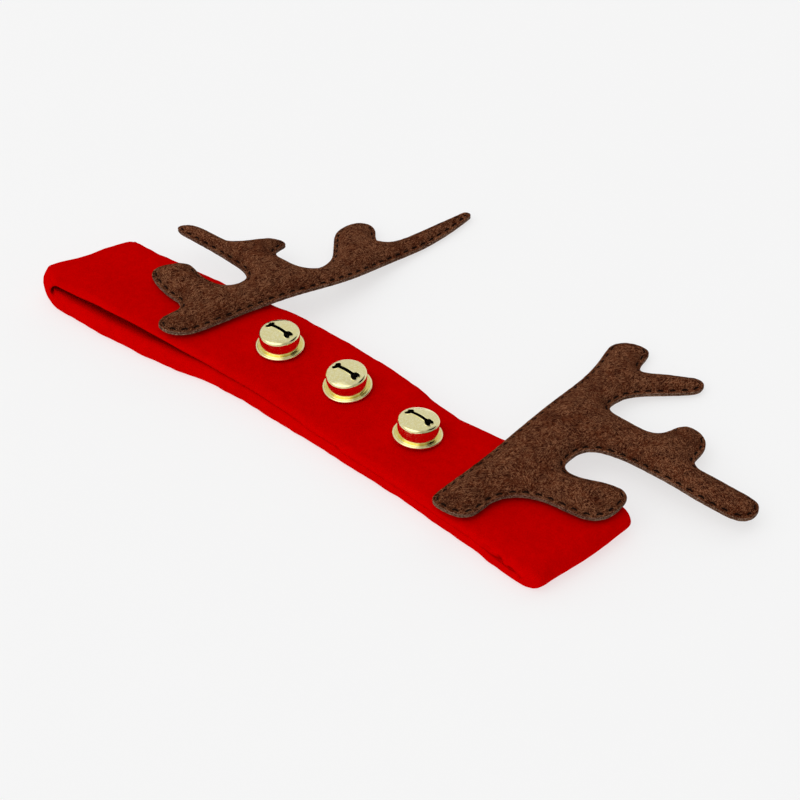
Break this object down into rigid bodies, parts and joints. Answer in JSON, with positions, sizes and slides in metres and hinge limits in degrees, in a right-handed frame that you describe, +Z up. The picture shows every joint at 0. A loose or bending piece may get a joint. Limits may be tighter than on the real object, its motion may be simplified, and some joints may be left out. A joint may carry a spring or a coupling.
{
  "type": "reindeer antler headband",
  "caption": "Padded headband pressed flat, with stuffed felt antlers and round jingle bells sewn along its front.",
  "frame": {"origin": "on the surface, at the middle of the band's flat underside", "axes": "+X along the flattened band towards the right antler as seen from the front, +Y towards the antlers' tips, +Z up from the surface"},
  "size_m": [0.298, 0.1617, 0.0218],
  "materials": {
    "fleece": "matt red fleece",
    "felt": "matt brown felt",
    "bell": "polished pale gold plate",
    "ball": "plain"
  },
  "bodies": {
    "root": {"band": "fleece", "antler_left_front": "felt", "antler_left_back": "felt", "antler_right_front": "felt", "antler_right_back": "felt", "bell_left": "bell", "bell_middle": "bell", "bell_right": "bell", "bell_left_ball": "ball", "bell_middle_ball": "ball", "bell_right_ball": "ball"}
  },
  "joints": []
}
